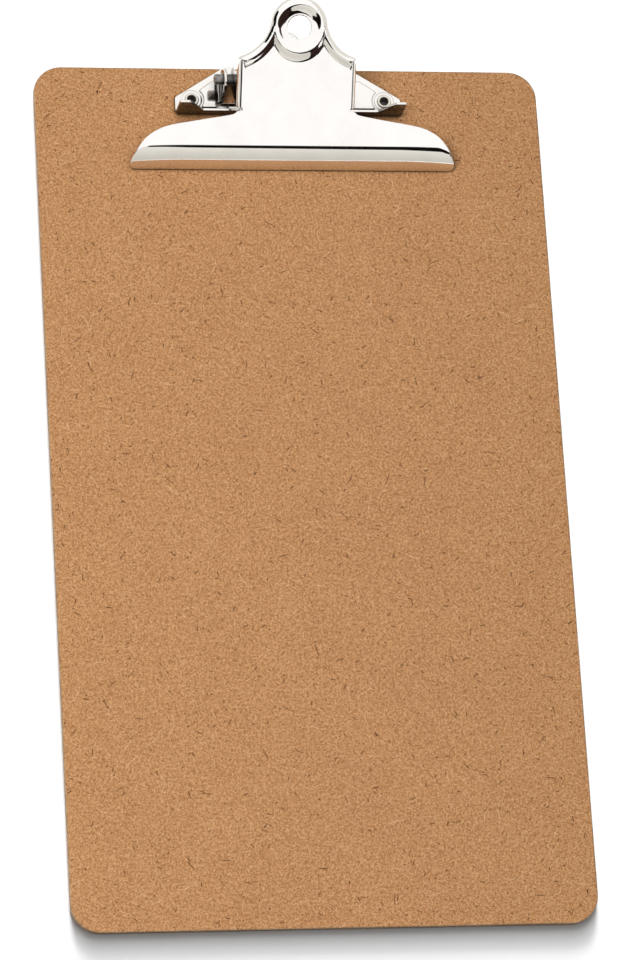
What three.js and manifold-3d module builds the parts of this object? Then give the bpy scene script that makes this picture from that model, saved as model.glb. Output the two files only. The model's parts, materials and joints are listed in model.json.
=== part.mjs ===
// Legal-size hardboard clipboard with a sprung lever clip.
// Millimetres. Origin at the centre of the board's back face: +X across the board, +Y towards the
// clip, +Z out of the board's front face. The clip is drawn closed on the bare board.
import * as THREE from 'three';
import { mergeVertices } from 'three/addons/utils/BufferGeometryUtils.js';
import Module from 'manifold-3d';

const wasm = await Module();
wasm.setup();

// ---- board -------------------------------------------------------------------------------------
const BOARD_W = 228.6;              // 9 in
const BOARD_L = 393.7;              // 15.5 in
const BOARD_T = 3.2;                // 1/8 in hardboard
const BOARD_CORNER_R = 12.7;
const RIVET_X = 43.7;               // rivets at plus and minus this
const RIVET_Y = 181.3;
const RIVET_HOLE_R = 2.6;
const RECESS_R = 5.4;               // shallow pocket in the back for washer and clinch
const RECESS_DEPTH = 1.5;

// ---- base plate (heights are above the board's front face) --------------------------------------
const SHEET = 1.2;                  // steel thickness of both stampings
const WING_X = 51.3;
const WING_Y0 = 174.4;              // lower edge, where the paper stops fold up
const WING_Y1 = 182.5;              // top of the wing's short outer edge
const SHOULDER_X = 27.5;
const SHOULDER_Y = 197.6;
const NECK_R = 12;                  // concave sides between shoulder and tongue
const NECK_RISE = 2;                // their centres above the rounded end's centre
const TONGUE_R = 8.2;               // rounded end of the rear tongue
const TONGUE_END_Y = 215.2;
const STOP_IN_X = 22;
const STOP_LOW = 5.6;               // paper stop's height along the wing
const STOP_HIGH = 15;               // and at its outer lug
const STOP_LUG_X = 46.6;
const STOP_RAMP_X = 39.8;
const EAR_IN_LEFT = 29.8;           // inner face of the left pivot ear, outside the lever's flange
const EAR_IN_RIGHT = 24;            // inner face of the right one, inside the other flange
const EAR_Y0 = 179.2;
const EAR_Y1 = 194.2;
const EAR_R = 5.4;
const WINDOW_LEN = 15.3;            // the ears are lanced out of windows this long
const PANEL_RISE = 0.6;             // raised panel pressed into each wing
const PANEL_GAP = 0.7;              // between the panel's inner end and the ear's inner face
const EMBOSS_R = 4.4;
const EMBOSS_RISE = 0.3;

// ---- pivot -------------------------------------------------------------------------------------
const PIVOT_Y = 187;
const PIVOT_Z = 11.5;               // above the board's front face
const ROD_R = 2.4;
const ROD_LEFT_X = -35;
const ROD_RIGHT_X = 27.6;
const ROD_CHAMFER = 0.5;
const RUN_CLEAR = 0.09;             // radial clearance of the rod in the lever and ears

// ---- lever, drawn in its own plate frame: x across, y along the plate, z off its top face --------
const TILT = 30.5;                  // the plate's angle to the board, degrees
const HOLE_Y = 201.2;               // hanging hole's centre on the plate's top face
const HOLE_Z = 38;
const HOLE_R = 5.3;
const RIDGE_R = 10.8;               // crest of the dished ring round the hole
const RING_OUT_R = 15.5;
const HUMP_R = 13.6;                // rounded thumb end
const HOLLOW_R = 18.2;              // concave side below the thumb end
const HOLLOW_AT = [31.5, 4.6];
const THUMB_BOTTOM = -26;           // the thumb panel joins the jaw plate here
const MID_X = 26.7;                 // outer face of the side flanges
const RIM_W = 5.5;                  // raised rim along the thumb end's outline
const RIM_H = 1.2;
const FLANGE_Y0 = -37;              // side flanges run between these along the plate
const FLANGE_Y1 = -14.5;
const FLANGE_R = 5.2;               // lobe round the pivot
const BEND_Y = -53.6;               // where the plate turns down into the gripping lip
const LIP_A0 = 12.5;                // lip's angle to the plate at its top and at its edge
const LIP_A1 = 37.5;
const LIP_LEN = 12.25;
const END_DROOP = 0.08;             // share of height the jaw's ends lose
const DROOP_FROM_X = 48;
// Half width of the jaw against distance up the sheet from the lip's edge.
const JAW_SHAPE = [
  [0, 71.2], [0.8, 72.8], [2.2, 73.4], [5, 73], [8.5, 71.8], [12.6, 69.8], [14.6, 68.4],
  [16.6, 66.6], [18.6, 64], [20.3, 60.8], [21.6, 57.2], [22.6, 52.5], [23.6, 46.8], [24.6, 40.6],
  [25.6, 34.6], [26.5, 29.8], [27.2, 27.4], [28.4, MID_X],
];

// ---- springs -----------------------------------------------------------------------------------
const WIRE_R = 0.8;
const COIL_R = 3.45;
const COIL_PITCH = 1.9;
const COIL_TURNS = 4;               // full turns besides the part turn between the legs
const COIL_X = 8.5;
const LEG_BASE = [202.5, SHEET + WIRE_R + 0.3];
const LEG_LEVER_Y = -12;            // where the other leg meets the lever, in its plate frame

// ---- materials ---------------------------------------------------------------------------------
const paint = (color, roughness, metalness) =>
  new THREE.MeshStandardMaterial({ color, roughness, metalness });
const hardboard = paint(0xc0905f, 0.62, 0);
const leverPlate = paint(0xe6e6e8, 0.08, 1);
const basePlating = paint(0xdededf, 0.12, 1);
const rodSteel = paint(0xb4b4b6, 0.28, 1);
const springSteel = paint(0x8b8780, 0.35, 1);
const rivetSteel = paint(0xd2d2d4, 0.15, 1);
const washerSteel = paint(0xbdbdbf, 0.3, 1);

const { degToRad: rad, radToDeg: deg } = THREE.MathUtils;
const cosT = Math.cos(rad(TILT));
const sinT = Math.sin(rad(TILT));

// ---- helpers -----------------------------------------------------------------------------------
const steps = (a, b, n) => Array.from({ length: n + 1 }, (_, i) => a + ((b - a) * i) / n);
const arc = (cx, cy, r, a0, a1, n) =>
  steps(a0, a1, n).map((a) => [cx + r * Math.cos(rad(a)), cy + r * Math.sin(rad(a))]);
const mirrorPts = (pts) => pts.map(([x, y]) => [-x, y]).reverse();
const flipX = (pts, side) => pts.map(([x, y]) => [side * x, y]);

// A geometry's closed surface as a solid, for joining and cutting. Faces end up pointing out.
function solid(geometry) {
  const bare = geometry.clone();
  for (const name of Object.keys(bare.attributes)) {
    if (name !== 'position') bare.deleteAttribute(name);
  }
  const merged = mergeVertices(bare, 1e-4);
  const make = (index) => new wasm.Manifold(new wasm.Mesh({
    numProp: 3,
    vertProperties: new Float32Array(merged.attributes.position.array),
    triVerts: new Uint32Array(index),
  }));
  const index = Array.from(merged.index.array);
  const first = make(index);
  if (first.volume() > 0) return first;
  for (let i = 0; i < index.length; i += 3) [index[i], index[i + 1]] = [index[i + 1], index[i]];
  return make(index);
}

function geometryOf(body) {
  const m = body.getMesh();
  const geometry = new THREE.BufferGeometry();
  geometry.setAttribute('position', new THREE.BufferAttribute(new Float32Array(m.vertProperties), 3));
  geometry.setIndex(new THREE.BufferAttribute(new Uint32Array(m.triVerts), 1));
  geometry.computeVertexNormals();
  return geometry;
}

function meshOf(name, geometry, material) {
  const mesh = new THREE.Mesh(geometry, material);
  mesh.name = name;
  return mesh;
}

// Flat outline in (x, y), from z0 up to z1.
function prism(pts, z0, z1) {
  const shape = new THREE.Shape(pts.map(([x, y]) => new THREE.Vector2(x, y)));
  const g = new THREE.ExtrudeGeometry(shape, { depth: z1 - z0, bevelEnabled: false });
  return g.translate(0, 0, z0);
}
// Side view in (y, z), from x0 to x1.
const sideSheet = (pts, x0, x1) => prism(pts, x0, x1)
  .applyMatrix4(new THREE.Matrix4().set(0, 0, 1, 0, 1, 0, 0, 0, 0, 1, 0, 0, 0, 0, 0, 1));
// Front view in (x, z), from y0 to y1.
const frontSheet = (pts, y0, y1) => prism(pts, -y1, -y0).rotateX(Math.PI / 2);
// Round bar along X or Z.
const barX = (y, z, r, x0, x1, n = 32) => new THREE.CylinderGeometry(r, r, x1 - x0, n)
  .rotateZ(Math.PI / 2).translate((x0 + x1) / 2, y, z);
const barZ = (x, y, r, z0, z1, n = 32) => new THREE.CylinderGeometry(r, r, z1 - z0, n)
  .rotateX(Math.PI / 2).translate(x, y, (z0 + z1) / 2);
// Turned piece about Z from a closed (radius, height) profile.
const turned = (pts, n) => new THREE.LatheGeometry(
  [...pts, pts[0]].map(([r, z]) => new THREE.Vector2(r, z)), n).rotateX(Math.PI / 2);

// Geometry from a list of points and quads or triangles.
function surface(verts, faces) {
  const geometry = new THREE.BufferGeometry();
  geometry.setAttribute('position', new THREE.Float32BufferAttribute(verts.flat(), 3));
  geometry.setIndex(faces.flatMap((f) => (f.length === 3 ? f : [f[0], f[1], f[2], f[0], f[2], f[3]])));
  return geometry;
}

// Closed skin through equal rings of points, with fan caps at both ends.
function loft(rings) {
  const n = rings[0].length;
  const verts = rings.flat();
  const faces = [];
  for (let i = 0; i + 1 < rings.length; i++) {
    for (let j = 0; j < n; j++) {
      const [a, b] = [i * n + j, i * n + ((j + 1) % n)];
      faces.push([a, b, b + n, a + n]);
    }
  }
  for (const base of [0, (rings.length - 1) * n]) {
    const ring = rings[base / n];
    const hub = verts.push([0, 1, 2].map((k) => ring.reduce((s, p) => s + p[k], 0) / n)) - 1;
    for (let j = 0; j < n; j++) {
      const [a, b] = [base + j, base + ((j + 1) % n)];
      faces.push(base ? [hub, a, b] : [hub, b, a]);
    }
  }
  return surface(verts, faces);
}

// Sheet of even thickness hung under a grid of top points.
function sheet(grid, thick) {
  const [R, C] = [grid.length, grid[0].length];
  const at = (i, j) => new THREE.Vector3(...grid[i][j]);
  const verts = grid.flat();
  for (let i = 0; i < R; i++) {
    for (let j = 0; j < C; j++) {
      const du = at(i, Math.min(j + 1, C - 1)).sub(at(i, Math.max(j - 1, 0)));
      const dv = at(Math.min(i + 1, R - 1), j).sub(at(Math.max(i - 1, 0), j));
      const normal = du.cross(dv).normalize();
      verts.push(at(i, j).addScaledVector(normal, -thick).toArray());
    }
  }
  const top = (i, j) => i * C + j;
  const low = (i, j) => R * C + i * C + j;
  const faces = [];
  for (let i = 0; i + 1 < R; i++) {
    for (let j = 0; j + 1 < C; j++) {
      faces.push([top(i, j), top(i, j + 1), top(i + 1, j + 1), top(i + 1, j)]);
      faces.push([low(i, j), low(i + 1, j), low(i + 1, j + 1), low(i, j + 1)]);
    }
    faces.push([top(i, 0), top(i + 1, 0), low(i + 1, 0), low(i, 0)]);
    faces.push([top(i + 1, C - 1), top(i, C - 1), low(i, C - 1), low(i + 1, C - 1)]);
  }
  for (let j = 0; j + 1 < C; j++) {
    faces.push([top(0, j + 1), top(0, j), low(0, j), low(0, j + 1)]);
    faces.push([top(R - 1, j), top(R - 1, j + 1), low(R - 1, j + 1), low(R - 1, j)]);
  }
  return surface(verts, faces);
}

// ---- board -------------------------------------------------------------------------------------
function board() {
  const [x, y, r] = [BOARD_W / 2 - BOARD_CORNER_R, BOARD_L / 2 - BOARD_CORNER_R, BOARD_CORNER_R];
  const outline = [
    ...arc(x, y, r, 0, 90, 10), ...arc(-x, y, r, 90, 180, 10),
    ...arc(-x, -y, r, 180, 270, 10), ...arc(x, -y, r, 270, 360, 10),
  ];
  let body = solid(prism(outline, 0, BOARD_T));
  for (const side of [-1, 1]) {
    body = body.subtract(solid(barZ(side * RIVET_X, RIVET_Y, RIVET_HOLE_R, -1, BOARD_T + 1, 24)));
    body = body.subtract(solid(barZ(side * RIVET_X, RIVET_Y, RECESS_R, -1, RECESS_DEPTH, 28)));
  }
  return geometryOf(body);
}

// ---- base plate: wings, rear tongue, folded-up paper stops and pivot ears -----------------------
function basePlate() {
  const tongueY = TONGUE_END_Y - TONGUE_R;
  const neckX = Math.sqrt((TONGUE_R + NECK_R) ** 2 - NECK_RISE ** 2);
  const meet = deg(Math.asin(NECK_RISE / (TONGUE_R + NECK_R)));
  const half = [
    [WING_X, WING_Y0], [WING_X, WING_Y1], [SHOULDER_X, SHOULDER_Y],
    ...arc(neckX, tongueY + NECK_RISE, NECK_R, 268, 180 + meet, 8),
    ...arc(0, tongueY, TONGUE_R, meet + 10, 90, 8).slice(0, -1),
  ];
  let body = solid(prism([...half, [0, TONGUE_END_Y], ...mirrorPts(half)], 0, SHEET));

  for (const [side, earIn] of [[-1, EAR_IN_LEFT], [1, EAR_IN_RIGHT]]) {
    const panelIn = earIn + PANEL_GAP;
    const panel = [
      [panelIn, WING_Y0 + 3.1], [RIVET_X - 5.6, WING_Y0 + 3.1],
      ...arc(RIVET_X, RIVET_Y, 5.4, 222, 132, 6),
      [36.2, 188.4], [30.5, 192.2], [panelIn, 192.2],
    ];
    body = body.add(solid(prism(flipX(panel, side), 0.2, SHEET + PANEL_RISE)));
    body = body.add(solid(barZ(side * RIVET_X, RIVET_Y, EMBOSS_R, 0.2, SHEET + EMBOSS_RISE, 28)));

    // Paper stop with a tall outer lug.
    const stop = [
      [STOP_IN_X, 0], [WING_X, 0], [WING_X, STOP_HIGH - 0.8], [WING_X - 0.8, STOP_HIGH],
      [STOP_LUG_X, STOP_HIGH], [STOP_RAMP_X, STOP_LOW], [STOP_IN_X, STOP_LOW],
    ];
    body = body.add(solid(frontSheet(flipX(stop, side), WING_Y0, WING_Y0 + SHEET)));

    // Ear lanced out of the plate, leaving its window beside it.
    const window = [
      [earIn - WINDOW_LEN, EAR_Y0 + 0.5], [earIn + 0.1, EAR_Y0 + 0.5],
      [earIn + 0.1, EAR_Y1 - 0.5], [earIn - WINDOW_LEN, EAR_Y1 - 0.5],
    ];
    body = body.subtract(solid(prism(flipX(window, side), -1, SHEET + 1)));
    const ear = [
      [EAR_Y0, 0], [EAR_Y0, 4], ...arc(PIVOT_Y, PIVOT_Z, EAR_R, 190, -10, 14),
      [EAR_Y1, 4], [EAR_Y1, 0],
    ];
    const x0 = side > 0 ? earIn : -earIn - SHEET;
    body = body.add(solid(sideSheet(ear, x0, x0 + SHEET)));
    body = body.subtract(solid(barX(PIVOT_Y, PIVOT_Z, ROD_R + RUN_CLEAR, x0 - 1, x0 + SHEET + 1)));
    body = body.subtract(solid(barZ(side * RIVET_X, RIVET_Y, RIVET_HOLE_R, -1, SHEET + 2, 24)));
  }
  return geometryOf(body);
}

// ---- lever: thumb end, side flanges, wide jaw --------------------------------------------------
// The pivot axis in the lever's plate frame.
const PIVOT_ON_PLATE = [
  (PIVOT_Y - HOLE_Y) * cosT + (PIVOT_Z - HOLE_Z) * sinT,
  (PIVOT_Z - HOLE_Z) * cosT - (PIVOT_Y - HOLE_Y) * sinT,
];

// Right half of the thumb end's outline, from shoulder to crown.
function thumbHalf() {
  const [hx, hy] = HOLLOW_AT;
  const meet = deg(Math.atan2(hy, hx));
  return [
    [MID_X + 0.4, -13.7],
    ...arc(hx, hy, HOLLOW_R, 248, 180 + meet, 9),
    ...arc(0, 0.3, HUMP_R, meet + 6, 90, 9),
  ];
}

// The outline with each point's direction towards the inside; its ends face down the plate.
function withInward(outline) {
  return outline.map((p, i) => {
    if (i === 0 || i === outline.length - 1) return { p, inward: [0, -1] };
    const [a, b] = [outline[i - 1], outline[i + 1]];
    const len = Math.hypot(b[0] - a[0], b[1] - a[1]);
    return { p, inward: [-(b[1] - a[1]) / len, (b[0] - a[0]) / len] };
  });
}
const inset = (points, d) => points.map(({ p, inward }) => [p[0] + inward[0] * d, p[1] + inward[1] * d]);

// The flat panel inside the rim: the outline moved in by d, closed down to the jaw plate.
function panelShape(points, d) {
  const line = inset(points, d);
  const [right, left] = [line[0], line[line.length - 1]];
  return [
    ...line, [-MID_X, left[1] - 0.5], [-MID_X, THUMB_BOTTOM - 1], [MID_X, THUMB_BOTTOM - 1],
    [MID_X, right[1] - 0.5],
  ];
}

function jawHalfWidth(p) {
  for (let i = 0; i + 1 < JAW_SHAPE.length; i++) {
    const [[a, wa], [b, wb]] = [JAW_SHAPE[i], JAW_SHAPE[i + 1]];
    if (p <= b) return wa + ((wb - wa) * (p - a)) / (b - a);
  }
  return MID_X;
}

// Point of the side profile, as (y, z) on the plate frame, at distance p up from the lip's edge.
function sideProfile(p) {
  if (p >= LIP_LEN) return [BEND_Y + p - LIP_LEN, 0];
  let [y, z] = [BEND_Y, 0];
  const n = 24;
  const down = LIP_LEN - p;
  for (let i = 0; i < n; i++) {
    const q = ((i + 0.5) * down) / n;
    const a = rad(LIP_A0 + ((LIP_A1 - LIP_A0) * q) / LIP_LEN);
    y -= (Math.cos(a) * down) / n;
    z -= (Math.sin(a) * down) / n;
  }
  return [y, z];
}

// Jaw: flat plate widening into long swept ends, turned down to the gripping lip.
function jaw() {
  const rows = [
    0, 0.8, 2.2, 5, 8.5, 11.3, 12.25, 12.9, 14.6, 16.6, 18.6, 20.3, 21.6, 22.6, 23.6, 24.6, 25.6,
    26.5, 27.2, 28.4, 34, LIP_LEN + THUMB_BOTTOM - BEND_Y,
  ];
  const cols = [-1, -0.95, -0.88, -0.8, -0.7, -0.58, -0.4, 0, 0.4, 0.58, 0.7, 0.8, 0.88, 0.95, 1];
  const height = ([y, z]) => y * sinT + z * cosT;     // above the board, up to a constant
  const edge = height(sideProfile(0));
  return sheet(rows.map((p) => {
    const half = jawHalfWidth(p);
    const [y, z] = sideProfile(p);
    return cols.map((u) => {
      const over = Math.max(0, Math.abs(u * half) - DROOP_FROM_X) / (JAW_SHAPE[2][1] - DROOP_FROM_X);
      const drop = (height([y, z]) - edge) * END_DROOP * over * over;
      return [u * half, y - drop * sinT, z - drop * cosT];
    });
  }), SHEET);
}

function lever() {
  const half = thumbHalf();
  const outline = withInward([...half, ...mirrorPts(half).slice(1)]);

  // Thumb panel inside the rim, open in the middle for the dished ring.
  let body = solid(prism(panelShape(outline, RIM_W - 0.2), -SHEET, 0));
  body = body.subtract(solid(barZ(0, 0, RING_OUT_R - 0.3, -4, 4, 48)));

  // Raised rim, swept along the outline with its outer edge turned down.
  const rim = [
    [0, -1.7], [0.7, -0.45], [1.8, 0.75], [2.8, RIM_H], [4, 0.75], [RIM_W, 0],
    [RIM_W, -SHEET], [4, -0.5], [2.9, -0.05], [2.1, -0.5], [1.6, -1.15], [1.2, -1.95],
  ];
  body = body.add(solid(loft(outline.map(({ p, inward }) =>
    rim.map(([d, z]) => [p[0] + inward[0] * d, p[1] + inward[1] * d, z])))));

  // Dished ring: rises to its crest, then dips to the hanging hole.
  const ring = [
    [HOLE_R, 0.2], [6.4, 0.22], [7.6, 0.45], [9.6, 1.12], [RIDGE_R, 1.35], [12.4, 1.02], [14, 0.35],
    [RING_OUT_R, 0], [RING_OUT_R, -SHEET], [13.8, -0.85], [12.2, -0.15], [RIDGE_R, 0.15],
    [9.9, -0.05], [8, -0.7], [6.8, -0.95], [HOLE_R, -1],
  ];
  const trim = solid(prism(panelShape(outline, 2.2), -5, 5));
  body = body.add(solid(turned(ring, 48)).intersect(trim));
  body = body.subtract(solid(barZ(0, 0, HOLE_R - 0.01, -6, 6, 48)));
  body = body.add(solid(jaw()));

  // Side flanges with a lobe round the rod.
  const [py, pz] = PIVOT_ON_PLATE;
  for (const side of [-1, 1]) {
    const flange = [
      [FLANGE_Y0, -0.4], [FLANGE_Y0 + 1.5, -3],
      ...arc(py, pz, FLANGE_R, 225 - TILT, 375 - TILT, 12),
      [FLANGE_Y1 - 2, -7], [FLANGE_Y1, -1.2], [-19, -0.4],
    ];
    const x0 = side > 0 ? MID_X - SHEET : -MID_X;
    body = body.add(solid(sideSheet(flange, x0, x0 + SHEET)));
    body = body.subtract(solid(barX(py, pz, ROD_R + RUN_CLEAR, x0 - 1, x0 + SHEET + 1)));
  }
  return geometryOf(body);
}

// ---- pivot rod, along X about its own axis -----------------------------------------------------
function rod() {
  const [r, c, a, b] = [ROD_R, ROD_CHAMFER, -ROD_RIGHT_X, -ROD_LEFT_X];
  const half = [[0, a], [r - c, a], [r, a + c], [r, b - c], [r - c, b], [0, b]];
  return geometryOf(solid(new THREE.LatheGeometry(half.map((p) => new THREE.Vector2(...p)), 32)
    .rotateZ(Math.PI / 2)));
}

// ---- torsion spring about the rod's axis: leg on the tongue, coil, leg under the lever ----------
class SpringCurve extends THREE.Curve {
  constructor(side) {
    super();
    const leverEnd = [LEG_LEVER_Y, -SHEET - WIRE_R - 0.35];
    const toRow = ([y, z]) => [
      HOLE_Y + y * cosT - z * sinT - PIVOT_Y, HOLE_Z + y * sinT + z * cosT - PIVOT_Z,
    ];
    const ends = [[LEG_BASE[0] - PIVOT_Y, LEG_BASE[1] - PIVOT_Z], toRow(leverEnd)];
    const tangent = ([y, z], turn) =>
      deg(Math.atan2(z, y) + turn * Math.acos(COIL_R / Math.hypot(y, z)));
    this.side = side;
    this.from = tangent(ends[0], -1);
    this.to = tangent(ends[1], 1);
    while (this.to > this.from) this.to -= 360;
    this.to -= 360 * COIL_TURNS;
    this.ends = ends;
    this.turns = (this.from - this.to) / 360;
    const legs = ends.map(([y, z]) => Math.sqrt(y * y + z * z - COIL_R * COIL_R));
    this.lengths = [legs[0], this.turns * Math.hypot(2 * Math.PI * COIL_R, COIL_PITCH), legs[1]];
  }

  onCoil(f) {
    const a = rad(this.from + (this.to - this.from) * f);
    return [COIL_X + this.turns * f * COIL_PITCH, COIL_R * Math.cos(a), COIL_R * Math.sin(a)];
  }

  getPoint(t, target = new THREE.Vector3()) {
    const [a, b, c] = this.lengths;
    const s = t * (a + b + c);
    const mix = (p, q, f) => p.map((v, i) => v + (q[i] - v) * f);
    let p;
    if (s < a) p = mix([COIL_X, ...this.ends[0]], this.onCoil(0), s / a);
    else if (s < a + b) p = this.onCoil((s - a) / b);
    else p = mix(this.onCoil(1), [COIL_X + this.turns * COIL_PITCH, ...this.ends[1]], (s - a - b) / c);
    return target.set(this.side * p[0], p[1], p[2]);
  }
}

function spring(side) {
  const wire = new THREE.Shape(arc(0, 0, WIRE_R, 0, 315, 7).map((p) => new THREE.Vector2(...p)));
  return geometryOf(solid(new THREE.ExtrudeGeometry(wire, {
    steps: 88, bevelEnabled: false, extrudePath: new SpringCurve(side),
  })));
}

// ---- tubular rivet and back washer, about their own axis from the board's back face -------------
function rivet() {
  const top = BOARD_T + SHEET + EMBOSS_RISE;
  return geometryOf(solid(turned([
    [1.75, 0.35], [3.3, 0.2], [3.3, 0.5], [2.35, 0.8], [2.35, top], [3.1, top], [3.1, top + 0.3],
    [2.7, top + 0.55], [2.2, top + 0.5], [1.75, top + 0.1],
  ], 28)));
}

function washer() {
  return geometryOf(solid(turned(
    [[2.75, 0.85], [5.1, 0.95], [5.1, RECESS_DEPTH], [2.75, RECESS_DEPTH]], 28)));
}

// ---- assembly ----------------------------------------------------------------------------------
const clipboard = new THREE.Group();
clipboard.add(meshOf('board', board(), hardboard));
for (const [name, side] of [['right', 1], ['left', -1]]) {
  const fixing = new THREE.Group();
  fixing.position.set(side * RIVET_X, RIVET_Y, 0);
  fixing.add(meshOf(`rivet_${name}`, rivet(), rivetSteel));
  fixing.add(meshOf(`washer_${name}`, washer(), washerSteel));
  clipboard.add(fixing);
}

const clip = new THREE.Group();
clip.position.z = BOARD_T;
clip.add(meshOf('base_plate', basePlate(), basePlating));
clipboard.add(clip);

const pivot = new THREE.Group();
pivot.position.set(0, PIVOT_Y, PIVOT_Z);
pivot.add(meshOf('pivot_rod', rod(), rodSteel));
pivot.add(meshOf('spring_right', spring(1), springSteel));
pivot.add(meshOf('spring_left', spring(-1), springSteel));
clip.add(pivot);

const leverMesh = meshOf('lever', lever(), leverPlate);
leverMesh.position.set(0, HOLE_Y - PIVOT_Y, HOLE_Z - PIVOT_Z);
leverMesh.rotation.x = rad(TILT);
pivot.add(leverMesh);

export default clipboard;
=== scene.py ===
"""Legal-size hardboard clipboard with a chromed lever clip, dressed round its CAD frame.

Lengths are in millimetres while a shape is worked out, and become metres when its mesh is made.
The row frame is the CAD part's own: its origin is the centre of the board's back face, with +X across
the board, +Y towards the clip and +Z out of the front face.
"""

import json
import math

import bmesh
import bpy
import numpy as np
from mathutils import Matrix, Vector
from mathutils.geometry import delaunay_2d_cdt

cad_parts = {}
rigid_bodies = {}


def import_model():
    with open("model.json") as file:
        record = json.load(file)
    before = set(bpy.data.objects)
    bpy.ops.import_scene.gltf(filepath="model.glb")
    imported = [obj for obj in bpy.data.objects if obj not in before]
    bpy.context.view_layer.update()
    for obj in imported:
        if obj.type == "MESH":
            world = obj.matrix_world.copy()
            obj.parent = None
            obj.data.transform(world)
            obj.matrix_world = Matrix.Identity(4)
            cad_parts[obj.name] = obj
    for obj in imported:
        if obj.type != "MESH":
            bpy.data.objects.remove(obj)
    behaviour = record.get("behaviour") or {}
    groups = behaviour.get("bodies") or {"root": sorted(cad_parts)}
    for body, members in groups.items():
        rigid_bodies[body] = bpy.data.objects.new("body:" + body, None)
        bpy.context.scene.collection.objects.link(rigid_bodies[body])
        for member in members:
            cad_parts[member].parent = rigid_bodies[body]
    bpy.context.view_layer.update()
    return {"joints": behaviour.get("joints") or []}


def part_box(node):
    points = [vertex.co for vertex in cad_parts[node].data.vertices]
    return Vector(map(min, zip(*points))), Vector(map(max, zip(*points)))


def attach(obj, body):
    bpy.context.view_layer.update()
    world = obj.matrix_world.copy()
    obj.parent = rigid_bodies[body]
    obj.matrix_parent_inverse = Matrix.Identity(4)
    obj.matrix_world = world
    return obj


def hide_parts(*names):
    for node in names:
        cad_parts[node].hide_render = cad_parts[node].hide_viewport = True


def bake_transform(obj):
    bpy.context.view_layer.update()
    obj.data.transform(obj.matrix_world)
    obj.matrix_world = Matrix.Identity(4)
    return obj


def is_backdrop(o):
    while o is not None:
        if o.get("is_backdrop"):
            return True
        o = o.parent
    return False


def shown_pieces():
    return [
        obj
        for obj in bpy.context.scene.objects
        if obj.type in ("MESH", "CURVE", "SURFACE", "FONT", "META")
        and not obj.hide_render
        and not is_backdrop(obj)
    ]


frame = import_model()

MM = 0.001
JOINT = frame["joints"][0]
BASE_BODY, LEVER_BODY = JOINT["parent"], JOINT["child"]


def node_box(name):
    """A CAD node's lowest and highest corners in millimetres."""
    low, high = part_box(name)
    return np.array(low) / MM, np.array(high) / MM


# ---- sizes the frame gives ----
BOARD_LOW, BOARD_HIGH = node_box("board")
FRONT = BOARD_HIGH[2]                     # height of the board's front face
ROD_LOW, ROD_HIGH = node_box("pivot_rod")
PIVOT = (ROD_LOW + ROD_HIGH) / 2          # on the pivot's axis
ROD_R = (ROD_HIGH[2] - ROD_LOW[2]) / 2
BORE_R = ROD_R + 0.09                     # the holes the rod turns in
RIVET_LOW, RIVET_HIGH = node_box("rivet_right")
RIVET = (RIVET_LOW + RIVET_HIGH) / 2
WING_LOW, WING_HIGH = node_box("base_plate")

# ---- board ----
CORNER_R = 12.7
BOARD_EDGE_R = 0.45
RIVET_HOLE_R = 2.6
RECESS_R, RECESS_DEPTH = 5.4, 1.5

# ---- base plate, in the row frame ----
SHEET = 1.2
SHEET_EDGE_R = 0.25
FOLD_R = 0.7                              # inside radius of the folded stops and ears
WING_X, WING_Y0 = WING_HIGH[0], WING_LOW[1]
WING_Y1 = WING_Y0 + 8.1
SHOULDER = (27.5, 197.6)
TONGUE_R, TONGUE_END = 8.2, WING_HIGH[1]
NECK_R, NECK_RISE = 12.0, 2.0
STOP_IN_X, STOP_LOW, STOP_HIGH = 22.0, 5.6, 15.0
STOP_RAMP_X, STOP_LUG_X = 39.8, 46.6
EAR_IN = {1: 24.0, -1: 29.8}              # inner face of each pivot ear, right and left
EAR_R = 5.4
WINDOW_LEN = 15.3                         # the ears were cut out of windows this long,
WINDOW_Y0, WINDOW_Y1 = -7.4, 6.5          # from and to here beside the pivot
PANEL_RISE, PANEL_TOP_Y = 0.6, 190.9
TONGUE_FROM_Y = 199.5
BEAD_RISE = 0.45                          # the tongue's edge is pressed up into a bead
EMBOSS_R, EMBOSS_RISE = 4.4, 0.3

# ---- lever, in its plate frame: x across, s along the unrolled sheet, z off the top face ----
TILT = math.radians(30.5)
HOLE = np.array([0.0, 201.2, 38.0 + FRONT])   # hanging hole's centre, in the row frame
HOLE_R = 5.3
RIDGE_R = 10.8
HUMP_R, HUMP_Y = 13.6, 0.3
HOLLOW_R, HOLLOW_AT = 18.2, (31.5, 4.6)
SHOULDER_AT = (27.1, -13.7)
CREASE_R, CREASE_Y = 11.8, -3.5           # the flat panel's edge below the ring
SEAM_X = 23.9                             # the sides start to turn down here
SIDE_R = 2.8
FLANGE_Y0, FLANGE_Y1 = -36.6, -15.1
FLANGE_R = 5.2
BEND_Y, BEND_HALF = -53.6, 1.9
LIP_A0, LIP_A1, LIP_LEN = 12.5, 37.5, 12.25
DROOP, DROOP_FROM_X = 0.08, 48.0
TIP_X0, TIP_X1 = 52, 68                   # from here out the jaw's pointed ends are dressed down along
TIP_ROLL, TIP_ROLL_W = 0.55, 3.4          # their edge, by this much over this width
JAW_SHAPE = [                             # (distance up from the lip's edge, half width)
    (0, 71.2), (0.8, 72.8), (2.2, 73.4), (5, 73), (8.5, 71.8), (12.6, 69.8), (14.6, 68.4),
    (16.6, 66.6), (18.6, 64), (20.3, 60.8), (21.6, 57.2), (22.6, 52.5), (23.6, 46.8), (24.6, 40.6),
    (25.6, 34.6), (26.5, 29.8), (27.2, 27.4), (28.4, 26.7),
]
RIM_CREST, RIM_TOP = 2.7, 1.2
RING_TOP = 1.35
PRESSED_X, PRESSED_Y = 28, -26            # the plate is flat beyond these
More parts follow.
